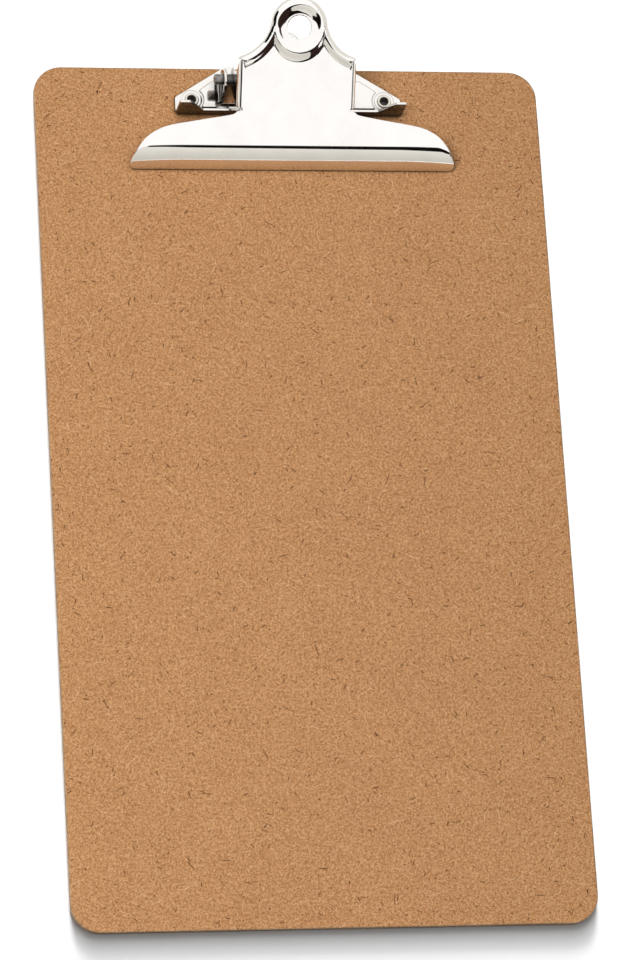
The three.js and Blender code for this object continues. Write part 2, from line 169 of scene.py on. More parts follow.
# Pressed profiles: (distance in from the thumb end's edge, height), (distance from the hole's centre,
# height), and (share of the way from the ridge down to the crease, height).
RIM = [(0, -1.9), (0.45, -0.95), (1.0, 0.16), (1.5, 0.53), (2.2, 0.98), (RIM_CREST, RIM_TOP), (3.2, 1.1),
       (5.2, 0.16), (5.7, 0)]
DISH = [(HOLE_R, 0.2), (6.2, 0.215), (7.6, 0.42), (9.6, 1.13), (10.2, 1.29), (RIDGE_R, RING_TOP)]
RING_SLOPE = [(0, RING_TOP), (0.16, 1.29), (0.3, 1.08), (0.92, 0.1), (1.06, 0)]

# ---- springs ----
WIRE_R = 0.8
COIL_R, COIL_PITCH, COIL_TURNS, COIL_X = 3.45, 1.9, 4, 8.5
LEG_BASE = (202.5, FRONT + SHEET + WIRE_R + 0.3)      # (y, z) of the leg's end on the tongue, row frame
LEG_LEVER = (-12.0, -SHEET - WIRE_R - 0.35)           # and of the other under the lever, plate frame


# ---- shape helpers ----
def smooth_line(points, flat_end=False):
    """A smooth function through (t, value) points that never overshoots them."""
    t, v = np.array(points, float).T
    h, s = np.diff(t), np.diff(v) / np.diff(t)
    m = np.zeros_like(v)
    same = s[:-1] * s[1:] > 0
    m[1:-1][same] = (2 * s[:-1] * s[1:])[same] / (s[:-1] + s[1:])[same]
    m[0], m[-1] = s[0], 0 if flat_end else s[-1]

    def value(x):
        x = np.clip(x, t[0], t[-1])
        i = np.clip(np.searchsorted(t, x, side="right") - 1, 0, len(h) - 1)
        u = (x - t[i]) / h[i]
        return (v[i] * (1 + 2 * u) * (1 - u) ** 2 + m[i] * h[i] * u * (1 - u) ** 2
                + v[i + 1] * u * u * (3 - 2 * u) + m[i + 1] * h[i] * u * u * (u - 1))
    return value


def ease(a, b, x):
    """0 up to a, 1 from b, and a smooth step between."""
    u = np.clip((x - a) / (b - a), 0, 1)
    return u * u * (3 - 2 * u)


def arc(cx, cy, r, a0, a1, n):
    """Points on an arc, angles in degrees."""
    a = np.radians(np.linspace(a0, a1, n + 1))
    return np.stack([cx + r * np.cos(a), cy + r * np.sin(a)], 1)


def circle(cx, cy, r, n):
    return arc(cx, cy, r, 0, 360, n)[:-1]


def join(*parts):
    """One line through several, without doubled points."""
    pts = np.concatenate([np.atleast_2d(np.array(p, float)) for p in parts])
    keep = np.append(True, np.linalg.norm(np.diff(pts, axis=0), axis=1) > 1e-6)
    return pts[keep]


def respace(line, step, loop=False):
    """The same line with points about step apart; its corners stay."""
    out = []
    for i in range(len(line) if loop else len(line) - 1):
        a, b = line[i], line[(i + 1) % len(line)]
        n = max(1, round(float(np.linalg.norm(b - a)) / step))
        out += [a + (b - a) * k / n for k in range(n)]
    if not loop:
        out.append(line[-1])
    return np.array(out)


def round_corners(line, radius, n=6):
    """A closed outline with every corner turned into an arc-like curve of about that radius."""
    line = np.array(line, float)
    out = []
    for i, p in enumerate(line):
        a, b = line[i - 1] - p, line[(i + 1) % len(line)] - p
        la, lb = np.linalg.norm(a), np.linalg.norm(b)
        cut = min(radius, la * 0.45, lb * 0.45)
        q0, q1 = p + a / la * cut, p + b / lb * cut
        for k in range(n + 1):
            u = k / n
            out.append(q0 * (1 - u) ** 2 + p * 2 * u * (1 - u) + q1 * u * u)
    return join(out)


def closed(line):
    return np.vstack([line, line[:1]])


def mirror(line):
    """A line reflected left to right, and turned round so that it still runs the same way."""
    return (np.array(line) * [-1, 1])[::-1]


def offset(line, d, loop=True):
    """A line moved sideways, to its left by d."""
    if loop:
        t = np.roll(line, -1, 0) - np.roll(line, 1, 0)
    else:
        t = np.gradient(line, axis=0)
    t /= np.linalg.norm(t, axis=1, keepdims=True)
    return line + np.stack([-t[:, 1], t[:, 0]], 1) * d


def distance(points, line):
    """Distance of each point from an open line."""
    a, b = line[:-1], line[1:]
    ab = b - a
    ap = points[:, None] - a[None]
    u = np.clip((ap * ab).sum(2) / (ab * ab).sum(1), 0, 1)
    return np.linalg.norm(ap - u[..., None] * ab, axis=2).min(1)


def inside(points, loops):
    """Whether each point is in the outer loop and in none of the holes."""
    odd = np.zeros(len(points), bool)
    x, y = points.T
    for loop in loops:
        for (ax, ay), (bx, by) in zip(loop, np.roll(loop, -1, 0)):
            if ay != by:
                crosses = (ay > y) != (by > y)
                odd ^= crosses & (x < (bx - ax) * (y - ay) / (by - ay) + ax)
    return odd


def thinned(points, near, gap):
    """The points that lie further than gap from every near point."""
    cells = {}
    for p in near:
        cells.setdefault((int(p[0] // gap), int(p[1] // gap)), []).append(p)
    kept = []
    for p in points:
        i, j = int(p[0] // gap), int(p[1] // gap)
        close = (q for di in (-1, 0, 1) for dj in (-1, 0, 1) for q in cells.get((i + di, j + dj), ()))
        if all((p[0] - q[0]) ** 2 + (p[1] - q[1]) ** 2 > gap * gap for q in close):
            kept.append(p)
    return np.array(kept).reshape(-1, 2)


def fill(loops, strewn):
    """Triangles inside closed loops, through the strewn points too."""
    pts, edges = [], []
    for loop in loops:
        n, base = len(loop), len(pts)
        pts += [Vector(p) for p in loop]
        edges += [(base + i, base + (i + 1) % n) for i in range(n)]
    strewn = strewn[inside(strewn, loops)]
    pts += [Vector(p) for p in strewn]
    co, _, tris = delaunay_2d_cdt(pts, edges, [], 0, 1e-5)[:3]
    co, tris = np.array(co), np.array([t for t in tris if len(t) == 3])
    tris = tris[inside(co[tris].mean(1), loops)]
    a, b, c = (co[tris[:, k]] for k in range(3))
    turn = (b - a)[:, 0] * (c - a)[:, 1] - (b - a)[:, 1] * (c - a)[:, 0]
    tris = tris[np.abs(turn) > 1e-9]
    turn = turn[np.abs(turn) > 1e-9]
    tris[turn < 0] = tris[turn < 0][:, ::-1]
    used = np.unique(tris)
    back = np.zeros(len(co), int)
    back[used] = np.arange(len(used))
    return co[used], back[tris]


def folded(past, r):
    """How far along and up a sheet folded round radius r has come, this far past the fold line."""
    a = np.clip(past / r, 0, math.pi / 2)
    return r * np.sin(a), r * (1 - np.cos(a)) + np.maximum(past - r * math.pi / 2, 0)


def normals_of(co, tris):
    """A unit normal at each point of a surface."""
    a, b, c = (co[tris[:, k]] for k in range(3))
    face = np.cross(b - a, c - a)
    out = np.zeros_like(co)
    for k in range(3):
        np.add.at(out, tris[:, k], face)
    return out / np.linalg.norm(out, axis=1, keepdims=True)


def open_loops(tris):
    """The loops of points round a surface's open edges, with the surface on their left."""
    edges = {(t[i], t[(i + 1) % 3]) for t in tris.tolist() for i in range(3)}
    follow = {a: b for a, b in sorted(edges) if (b, a) not in edges}
    loops = []
    while follow:
        start = min(follow)
        loop, at = [start], follow.pop(start)
        while at != start:
            loop.append(at)
            at = follow.pop(at)
        loops.append(loop)
    return loops


def thicken(co, tris, thick, edge_r):
    """A closed sheet hung under a surface, with rounded edges that stand edge_r outside it."""
    normal = normals_of(co, tris)
    verts, faces = [*co, *(co - normal * thick)], [*tris.tolist(), *(tris[:, ::-1] + len(co)).tolist()]
    for loop in open_loops(tris):
        p, nrm = co[loop], normal[loop]
        t = np.roll(p, -1, 0) - np.roll(p, 1, 0)
        out = np.cross(t, nrm)
        out /= np.linalg.norm(out, axis=1, keepdims=True)
        rings = [list(loop)]
        steps = [(edge_r * math.sin(a), edge_r * (1 - math.cos(a))) for a in np.radians([30, 60, 90])]
        steps += [(o, thick - d) for o, d in reversed(steps)]
        for o, d in steps:
            rings.append(list(range(len(verts), len(verts) + len(loop))))
            verts += list(p + out * o - nrm * d)
        rings.append([i + len(co) for i in loop])
        for a, b in zip(rings, rings[1:]):
            faces += ribbon(a, b)
    return np.array(verts), faces


def ribbon(a, b):
    """Faces between two equal closed rings of point numbers."""
    n = len(a)
    return [(a[(i + 1) % n], a[i], b[i], b[(i + 1) % n]) for i in range(n)]


def lathe(profile, n, loop=False):
    """Points and faces of a piece turned about Z from (radius, height) points."""
    verts, rings = [], []
    for r, z in profile:
        if r < 1e-6:
            rings.append([len(verts)] * n)
            verts.append((0, 0, z))
        else:
            rings.append(list(range(len(verts), len(verts) + n)))
            verts += [(r * math.cos(a), r * math.sin(a), z) for a in np.arange(n) * 2 * math.pi / n]
    pairs = list(zip(rings, rings[1:])) + ([(rings[-1], rings[0])] if loop else [])
    faces = []
    for a, b in pairs:
        for f in ribbon(a, b):
            distinct = tuple(dict.fromkeys(f))
            if len(distinct) > 2:
                faces.append(distinct)
    return np.array(verts, float), faces


def piece(name, verts, faces, material, body, nodes):
    """Makes one mesh piece from millimetre points and hangs it on the frame.

    It rides on a named body; where body is a span from one point to another instead, the span is not used
    and the piece rides on no body.
    """
    mesh = bpy.data.meshes.new(name)
    mesh.from_pydata((np.array(verts) * MM).tolist(), [], [list(map(int, f)) for f in faces])
    mesh.validate()
    mesh.materials.append(material)
    mesh.shade_smooth()
    obj = bpy.data.objects.new(name, mesh)
    bpy.context.scene.collection.objects.link(obj)
    if isinstance(body, str):
        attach(obj, body)
    else:
        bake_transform(obj)
    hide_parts(*nodes)
    return obj


def weld(obj):
    """Joins points that lie in the same place."""
    bm = bmesh.new()
    bm.from_mesh(obj.data)
    bmesh.ops.remove_doubles(bm, verts=bm.verts, dist=1e-6)
    bm.to_mesh(obj.data)
    bm.free()
    obj.data.shade_smooth()


# ---- materials ----
class Nodes:
    """Short names for building a node tree."""

    def __init__(self, tree):
        self.tree = tree
        tree.nodes.clear()

    def add(self, kind, inputs=None, **settings):
        node = self.tree.nodes.new(kind)
        for key, value in settings.items():
            setattr(node, key, value)
        for key, value in (inputs or {}).items():
            if isinstance(value, bpy.types.NodeSocket):
                self.tree.links.new(value, node.inputs[key])
            else:
                node.inputs[key].default_value = value
        return node

    def math(self, operation, a, b=0.0):
        return self.add("ShaderNodeMath", {0: a, 1: b}, operation=operation).outputs[0]

    def vector(self, operation, a, b):
        return self.add("ShaderNodeVectorMath", {0: a, 1: b}, operation=operation).outputs[0]

    def plus(self, a, b):
        return self.math("ADD", a, b)

    def minus(self, a, b):
        return self.math("SUBTRACT", a, b)

    def times(self, a, b):
        return self.math("MULTIPLY", a, b)

    def range(self, value, low, high, to_low=0.0, to_high=1.0):
        return self.add("ShaderNodeMapRange", {0: value, 1: low, 2: high, 3: to_low, 4: to_high},
                        interpolation_type="SMOOTHSTEP").outputs[0]

    def mix(self, factor, a, b, blend="MIX"):
        return self.add("ShaderNodeMix", {0: factor, 6: a, 7: b}, data_type="RGBA",
                        blend_type=blend).outputs[2]

    def tinted(self, colour, by):
        return self.mix(1.0, colour, by, "MULTIPLY")

    def noise(self, at, scale, detail=2.0, rough=0.5):
        return self.add("ShaderNodeTexNoise", {"Vector": at, "Scale": scale, "Detail": detail,
                                               "Roughness": rough}).outputs["Fac"]

    def stretched(self, at, scale, angle=0.0):
        return self.add("ShaderNodeMapping", {"Vector": at, "Scale": scale,
                                              "Rotation": (0.0, 0.0, angle)}).outputs[0]


def srgb(r, g, b):
    """A colour given as 0 to 255, made linear."""
    def one(v):
        v /= 255
        return v / 12.92 if v <= 0.04045 else ((v + 0.055) / 1.055) ** 2.4
    return (one(r), one(g), one(b), 1.0)


def new_material(name):
    """A material, its node builder, and the piece's own coordinates in metres."""
    material = bpy.data.materials.new(name)
    material.use_nodes = True
    n = Nodes(material.node_tree)
    at = n.add("ShaderNodeTexCoord").outputs["Object"]
    return material, n, at


def finish_material(n, shader, normal=None):
    out = n.add("ShaderNodeOutputMaterial")
    n.tree.links.new(shader.outputs[0], out.inputs[0])
    if normal is not None:
        n.tree.links.new(normal, shader.inputs["Normal"])


def fibres(n, at, cell, length, width, share, curl, seed):
    """A mask of short fibres at random angles, one at most in each cell; sizes in millimetres."""
    moved = n.vector("ADD", at, (seed, seed * 0.7, 0))
    flat = n.vector("MULTIPLY", moved, (1 / MM / cell, 1 / MM / cell, 0))
    cells = n.add("ShaderNodeTexVoronoi", {"Vector": flat, "Scale": 1.0}, voronoi_dimensions="2D")
    away = n.vector("SUBTRACT", flat, cells.outputs["Position"])
    chance = n.add("ShaderNodeSeparateColor", {0: cells.outputs["Color"]})
    angle = n.times(chance.outputs[0], 2 * math.pi)
    turned = n.add("ShaderNodeVectorRotate", {"Vector": away, "Angle": angle},
                   rotation_type="Z_AXIS").outputs[0]
    xyz = n.add("ShaderNodeSeparateXYZ", {0: turned})
    bow = n.times(n.math("POWER", n.math("ABSOLUTE", xyz.outputs[0]), 2.0),
                  n.times(n.minus(chance.outputs[1], 0.5), curl * 2))
    across = n.math("ABSOLUTE", n.plus(xyz.outputs[1], bow))
    long = n.times(n.plus(n.times(chance.outputs[1], 0.7), 0.3), length / 2 / cell)
    body = n.range(across, width / 2 / cell, width / 2 / cell * 0.3)
    ends = n.range(n.math("DIVIDE", n.math("ABSOLUTE", xyz.outputs[0]), long), 1.0, 0.75)
    here = n.math("LESS_THAN", chance.outputs[2], share)
    return n.times(n.times(body, ends), here)


def hardboard(name, tones, edge=False):
    """Pressed brown wood fibre: grain, cloudy tone, dark and pale fibres, faint relief, and painted shade
    where the clip and rivets stand close.
    """
    material, n, at = new_material(name)
    dark, mid, light = (srgb(*t) for t in tones)
    fine = n.noise(at, 2300.0, 3.0, 0.6)
    pulp = n.noise(at, 900.0, 3.0, 0.6)
    cloud = n.noise(at, 28.0, 3.0, 0.55)
    if edge:
        sheets = n.noise(n.stretched(at, (60.0, 60.0, 2600.0)), 1.0, 3.0, 0.6)
        fine = n.mix(0.5, fine, sheets)
    tone = n.plus(n.times(fine, 0.62), n.times(pulp, 0.38))
    ramp = n.add("ShaderNodeValToRGB", {0: tone})
    stops = ramp.color_ramp.elements
    stops[0].position, stops[0].color = 0.39, dark
    stops[1].position, stops[1].color = 0.61, light
    stops.new(0.5).color = mid
    colour = ramp.outputs[0]
    patchy = n.range(cloud, 0.25, 0.75)
    colour = n.mix(patchy, colour, n.tinted(colour, srgb(250, 248, 248)))
    relief = tone
    if not edge:
        layers = [  # cell, length, width, share, curl, colour, strength; four dark layers, then pale ones
            (3.2, 1.0, 0.66, 0.24, 0.0, (66, 26, 8), 0.92),
            (8.0, 2.8, 0.60, 0.30, 1.0, (50, 18, 4), 0.95),
            (17.0, 5.4, 0.50, 0.38, 1.0, (52, 20, 8), 0.92),
            (1.8, 0.7, 0.55, 0.36, 0.0, (134, 82, 46), 0.7),
            (2.6, 1.6, 0.42, 0.40, 0.8, (214, 168, 120), 0.55),
            (6.0, 4.4, 0.38, 0.50, 1.2, (222, 180, 134), 0.6),
            (14.0, 11.0, 0.34, 0.45, 1.3, (226, 186, 142), 0.6),
        ]
        for i, (cell, length, width, share, curl, shade, strength) in enumerate(layers):
            mask = fibres(n, at, cell, length, width, share, curl, 0.37 * (i + 1))
            colour = n.mix(n.times(mask, strength), colour, srgb(*shade))
            relief = n.plus(relief, n.times(mask, -0.15 if i < 4 else 0.15))
    bump = n.add("ShaderNodeBump", {"Strength": 0.35, "Distance": 0.00012, "Height": relief})
    if not edge:
        # painted shade on the board: a contact shadow along the lip and darker patches under and beside
        # the clip and rivets
        colour = n.tinted(colour, painted_crevice_shade(n, 0.0035, 0.18))
        colour = n.tinted(colour, painted_crevice_shade(n, 0.018, 0.45, 0.35, 0.9))
    rough = n.range(tone, 0.35, 0.65, 0.70, 0.56)
    shader = n.add("ShaderNodeBsdfPrincipled", {"Base Color": colour, "Roughness": rough,
                                                "Specular IOR Level": 0.28})
    finish_material(n, shader, bump.outputs[0])
    return material


def painted_crevice_shade(n, reach, darkest, full=0.3, clear=0.85):
    """A grey that drops where other surfaces stand close: painted shade in crevices, contact lines and
    under parts.

    It is darkest where the share of open sky within reach is down to full, and 1 from clear up.
    """
    openness = n.add("ShaderNodeAmbientOcclusion", {"Distance": reach}, samples=8).outputs["AO"]
    return n.range(openness, full, clear, darkest, 1.0)


def plated(name, tint, rough, wave=1.0, painted_shade_level=0.2, clear=0.85, upright_reach=None):
    """Bright nickel or chrome plate: faint waves, polishing lines, tiny pits, smudges, and painted shade
    where other surfaces stand close.

    painted_shade_level is how much of the colour is left where that painted shade is deepest, and
    upright_reach makes the painted shade reach that much further on faces that stand up from the board.
    """
    material, n, at = new_material(name)
    smudge = n.noise(at, 55.0, 4.0, 0.6)
    lines = n.noise(n.stretched(at, (260.0, 9000.0, 9000.0), 0.35), 1.0, 2.0, 0.5)
    cross = n.noise(n.stretched(at, (7000.0, 300.0, 7000.0), -0.5), 1.0, 2.0, 0.5)
    pits = n.range(n.noise(at, 900.0, 2.0, 0.5), 0.70, 0.80)
    colour = n.mix(n.range(smudge, 0.35, 0.7), srgb(*tint), srgb(*[t - 6 for t in tint]))
    colour = n.mix(n.times(pits, 0.25), colour, srgb(120, 114, 106))
    # painted shade: the plate is darkened in crevices, under parts and near the board, where light would
    # be blocked
    unshaded = painted_crevice_shade(n, 0.009, 0.0, clear - 0.5, clear)
    # painted shade: upright faces, such as the stops and ears, are darkened from further off
    if upright_reach:
        facing = n.add("ShaderNodeSeparateXYZ", {0: n.add("ShaderNodeNewGeometry").outputs["Normal"]})
        upright = n.range(n.math("ABSOLUTE", facing.outputs[2]), 0.7, 0.3)
        unshaded = n.mix(upright, unshaded, painted_crevice_shade(n, upright_reach, 0.0, 0.47, 0.97))
    # the colour in full painted shade
    shaded_colour = n.tinted(colour, (painted_shade_level, painted_shade_level * 0.86, painted_shade_level * 0.74, 1))
    colour = n.mix(unshaded, shaded_colour, colour)
    base = n.range(smudge, 0.3, 0.75, rough, rough + 0.03)
    base = n.plus(base, n.times(n.range(lines, 0.55, 0.75), 0.025))
    base = n.plus(base, n.times(pits, 0.12))
    swell = n.noise(at, 90.0, 1.0, 0.4)
    height = n.plus(n.times(lines, 0.02), n.times(cross, 0.015))
    height = n.plus(height, n.times(swell, 0.35 * wave))
    height = n.minus(height, n.times(pits, 0.05))
    bump = n.add("ShaderNodeBump", {"Strength": 0.25, "Distance": 0.00006, "Height": height})
    shader = n.add("ShaderNodeBsdfPrincipled", {"Base Color": colour, "Metallic": 1.0,
                                                "Roughness": base})
    finish_material(n, shader, bump.outputs[0])
    return material


def raw_steel(name, tint, rough, grain):
    """Cut or drawn steel: dull, mottled, with fine scores and darker specks, and painted shade where
    other parts stand close.
    """
    material, n, at = new_material(name)
    mottle = n.noise(at, 700.0, 4.0, 0.6)
    scores = n.noise(n.stretched(at, (grain, 5200.0, 5200.0)), 1.0, 3.0, 0.6)
    colour = n.mix(n.range(mottle, 0.35, 0.68), srgb(*[t * 0.72 for t in tint]), srgb(*tint))
    colour = n.mix(n.range(scores, 0.6, 0.75, 0.0, 0.5), colour, srgb(70, 64, 58))
    # painted shade: darker where other parts stand close
    colour = n.tinted(colour, painted_crevice_shade(n, 0.006, 0.3))
    height = n.plus(n.times(scores, 0.6), n.times(mottle, 0.4))
    bump = n.add("ShaderNodeBump", {"Strength": 0.4, "Distance": 0.00005, "Height": height})
    roughness = n.range(mottle, 0.3, 0.7, rough + 0.1, rough)
    shader = n.add("ShaderNodeBsdfPrincipled", {"Base Color": colour, "Metallic": 1.0,
                                                "Roughness": roughness})
    finish_material(n, shader, bump.outputs[0])
    return material


BOARD_FACE = hardboard("hardboard_face", [(146, 98, 58), (182, 132, 86), (210, 163, 117)])
BOARD_CUT = hardboard("hardboard_cut_edge", [(122, 92, 62), (158, 126, 93), (190, 160, 126)],
                      edge=True)
# The plates' last settings give their painted shade in crevices and under parts; on the base plate it
# reaches further up the stops and ears.
LEVER_PLATE = plated("lever_chrome", (243, 240, 236), 0.035, painted_shade_level=0.25, clear=0.93)
BASE_PLATE = plated("base_chrome", (238, 235, 230), 0.06, wave=1.6, painted_shade_level=0.06, clear=0.82,
                    upright_reach=0.022)
RIVET_PLATE = plated("rivet_nickel", (226, 221, 212), 0.12)
ROD_STEEL = raw_steel("rod_steel", (176, 172, 168), 0.32, 900.0)
SPRING_STEEL = raw_steel("spring_steel", (158, 150, 138), 0.26, 500.0)
WASHER_STEEL = raw_steel("washer_steel", (190, 187, 182), 0.28, 2600.0)


# ---- board ----
def board_outline(inset):
    x, y = BOARD_HIGH[0] - CORNER_R, BOARD_HIGH[1] - CORNER_R
    corners = ((x, y, 0), (-x, y, 90), (-x, -y, 180), (x, -y, 270))
    rounds = [arc(cx, cy, CORNER_R - inset, a, a + 90, 18) for cx, cy, a in corners]
    return respace(join(*rounds), 12.0, True)


def build_board():
    """Front and back faces, and the rounded walls of the edge and of the stepped rivet holes."""
    e, n = BOARD_EDGE_R, 48
    verts, faces, edge_faces = [], [], set()

    def rivet_circles(r):
        return [circle(s * RIVET[0], RIVET[1], r, n) for s in (1, -1)]

    def put(loop, z):
        start = len(verts)
        verts.extend((x, y, z) for x, y in loop)
        return list(range(start, start + len(loop)))

    def cap(hole_r, z, up):
        support = [board_outline(e + 1.0), *rivet_circles(hole_r + e + 0.7)]
        co, tris = fill([board_outline(e), *rivet_circles(hole_r + e)], np.concatenate(support))
        base = len(verts)
        verts.extend((x, y, z) for x, y in co)
        faces.extend((tris + base if up else tris[:, ::-1] + base).tolist())

    def wall(loops):
        rings = [put(loop, z) for loop, z in loops]
        for a, b in zip(rings, rings[1:]):
            edge_faces.update(range(len(faces), len(faces) + len(a)))
            faces.extend(ribbon(a, b))

    cap(RIVET_HOLE_R, FRONT, True)
    cap(RECESS_R, 0.0, False)
    turn = [(e * (1 - math.sin(a)), e * (1 - math.cos(a))) for a in np.radians([0, 22, 45, 68, 90])]
    wall([(board_outline(i), FRONT - d) for i, d in turn]
         + [(board_outline(i), d) for i, d in reversed(turn)])
    steps = [(RIVET_HOLE_R + i, FRONT - d) for i, d in turn]
    steps += [(RIVET_HOLE_R, RECESS_DEPTH), (RECESS_R, RECESS_DEPTH)]
    steps += [(RECESS_R + i, d) for i, d in reversed(turn)]
    for s in (1, -1):
        wall([(circle(s * RIVET[0], RIVET[1], r, n)[::-1], z) for r, z in steps])
    obj = piece("board_panel", verts, faces, BOARD_FACE, BASE_BODY, ["board"])
    obj.data.materials.append(BOARD_CUT)
    for i in edge_faces:
        obj.data.polygons[i].material_index = 1
    weld(obj)


# ---- base plate ----
FOLD_LEN = FOLD_R * math.pi / 2
STOP_FOLD_Y = WING_Y0 + SHEET + FOLD_R      # the flat wing ends here and the stop turns up
EAR_FOLD_X = {side: x + SHEET + FOLD_R for side, x in EAR_IN.items()}
EAR_TOP = PIVOT[2] - FRONT - SHEET          # pivot height above the plate's top face


def stop_y(height):
    """Where a height on the folded stop, above the board, lies on the unrolled sheet."""
    return STOP_FOLD_Y - FOLD_LEN - (height - SHEET - FOLD_R)


def ear_x(height, side):
    """How far from the middle a height on the folded ear, above the plate's top face, lies on the
    unrolled sheet."""
    return EAR_FOLD_X[side] - FOLD_LEN - (height - FOLD_R)


def base_outline():
    """The unrolled base plate: wings with their stops laid flat, shoulders and tongue."""
    tongue_y = TONGUE_END - TONGUE_R
    neck_x = math.sqrt((TONGUE_R + NECK_R) ** 2 - NECK_RISE ** 2)
    meet = math.degrees(math.asin(NECK_RISE / (TONGUE_R + NECK_R)))
    stop = np.array([
        (STOP_IN_X, WING_Y0 + 0.4), (STOP_IN_X, stop_y(STOP_LOW)), (STOP_RAMP_X, stop_y(STOP_LOW)),
        (STOP_LUG_X, stop_y(STOP_HIGH)), (WING_X, stop_y(STOP_HIGH)), (WING_X, WING_Y1),
        SHOULDER,
    ])
    corners = round_corners(np.vstack([[(0, WING_Y0 + 0.4)], stop, [(0, SHOULDER[1] - 1.2)]]), 0.9, 5)
    wing = corners[(corners[:, 0] > 1.0) & (corners[:, 1] < SHOULDER[1] + 0.2)]
    half = join(
        (0, WING_Y0 + 0.4), wing,
        arc(neck_x, tongue_y + NECK_RISE, NECK_R, 262, 180 + meet, 14),
        arc(0, tongue_y, TONGUE_R, meet, 90, 14),
    )
    loop = join(half, mirror(half)[1:-1])
    return offset(respace(loop, 1.2, True), SHEET_EDGE_R)


def window_loop(side):
    """The slot left round an ear that was cut free on three sides and folded up."""
    y0, y1 = PIVOT[1] + WINDOW_Y0, PIVOT[1] + WINDOW_Y1
    foot0, foot1 = y0 + 0.9, y1 - 0.9
    fold, far = EAR_FOLD_X[side], EAR_IN[side] - WINDOW_LEN
    ear = [
        (fold + 0.2, foot0), (ear_x(3.0, side), foot0 + 0.3),
        *arc(ear_x(EAR_TOP, side), PIVOT[1], EAR_R, 285, 75, 20),
        (ear_x(3.0, side), foot1 - 0.3), (fold + 0.2, foot1),
    ]
    slot = [
        (fold + 0.6, foot1 + 0.15), (fold + 0.6, y1), (far, y1), (far, y0),
        (fold + 0.6, y0), (fold + 0.6, foot0 - 0.15),
    ]
    loop = respace(join(ear, slot), 1.0, True)
    return loop if side > 0 else mirror(loop)


def panel_loop(side):
    """Edge of the panel that is pressed up between the ear and the rivet."""
    start = EAR_IN[side] + 2.8
    bottom_y, slant = WING_Y0 + 3.1, [(35.6, 189.0), (32.6, PANEL_TOP_Y)]
    panel = [(start, bottom_y), (RIVET[0] - 5.2, bottom_y), *arc(*RIVET[:2], 5.5, 218, 128, 8), *slant]
    if start < slant[-1][0]:
        panel.append((start, PANEL_TOP_Y))
    panel = respace(round_corners(panel, 0.8, 4), 0.6, True)
    return panel if side > 0 else mirror(panel)


def wing_points(side, panel):
    """Points on one wing: rings round its holes, lines along its panel, rows across its folds."""
    hole_x = side * ear_x(EAR_TOP, side)
    points = [circle(side * RIVET[0], RIVET[1], RIVET_HOLE_R + SHEET_EDGE_R + d, 48)
              for d in (0.3, 0.7, 1.1, 1.4, 1.6, 1.8, 2.0, 2.3, 2.7)]
    points += [circle(hole_x, PIVOT[1], BORE_R + SHEET_EDGE_R + d, 36) for d in (0.4, 0.9)]
    points += [offset(panel, d) for d in (-0.35, -0.2, -0.05, 0.1, 0.25, 0.4, 0.8)]
    fold = np.linspace(-0.1, FOLD_LEN + 0.1, 8)
    ys = np.arange(PIVOT[1] - 6.2, PIVOT[1] + 5.4, 0.8)
    points.append(np.array([(side * (EAR_FOLD_X[side] - f), v) for f in fold for v in ys]))
    xs = np.arange(STOP_IN_X + 0.9, WING_X - 0.6, 0.9)
    points.append(np.array([(side * u, STOP_FOLD_Y - f) for f in fold for u in xs]))
    return points


def base_height(co, outline, panels):
    """Height of the pressed shapes above the flat plate: panels, rivet bosses and the tongue's bead."""
    x, y = co.T
    height = np.zeros(len(co))
    for side, panel in panels.items():
        near = np.where(np.sign(x) == side)[0]
        d = distance(co[near], closed(panel)) * np.where(inside(co[near], [panel]), 1, -1)
        height[near] += PANEL_RISE * ease(-0.3, 0.35, d)
    r = np.hypot(np.abs(x) - RIVET[0], y - RIVET[1])
    height += EMBOSS_RISE * (1 - ease(EMBOSS_R - 0.25, EMBOSS_R + 0.25, r))
    d = distance(co, closed(outline))
    bead = BEAD_RISE * ease(0.0, 0.5, d) * (1 - ease(1.1, 1.9, d))
    return height + bead * ease(TONGUE_FROM_Y, TONGUE_FROM_Y + 2.5, y)


def base_surface(co, height):
    """The unrolled sheet's points carried to where the folded plate has them."""
    x, y = co.T
    top = FRONT + SHEET
    pos = np.stack([x, y, top + height], 1)
    past = STOP_FOLD_Y - y
    along, up = folded(past, FOLD_R)
    stop = (past > 0) & (np.abs(x) > STOP_IN_X - 0.1)
    pos[stop, 1] = STOP_FOLD_Y - along[stop]
    pos[stop, 2] = top + up[stop]
    ear_rows = np.abs(y - PIVOT[1] - (WINDOW_Y0 + WINDOW_Y1) / 2) < (WINDOW_Y1 - WINDOW_Y0) / 2 - 0.5
    for side in (1, -1):
        past = EAR_FOLD_X[side] - side * x
        along, up = folded(past, FOLD_R)
        ear = (past > 0) & (side * x > EAR_IN[side] - WINDOW_LEN + 0.05) & ear_rows
        pos[ear, 0] = side * (EAR_FOLD_X[side] - along[ear])
        pos[ear, 2] = top + up[ear]
    return pos


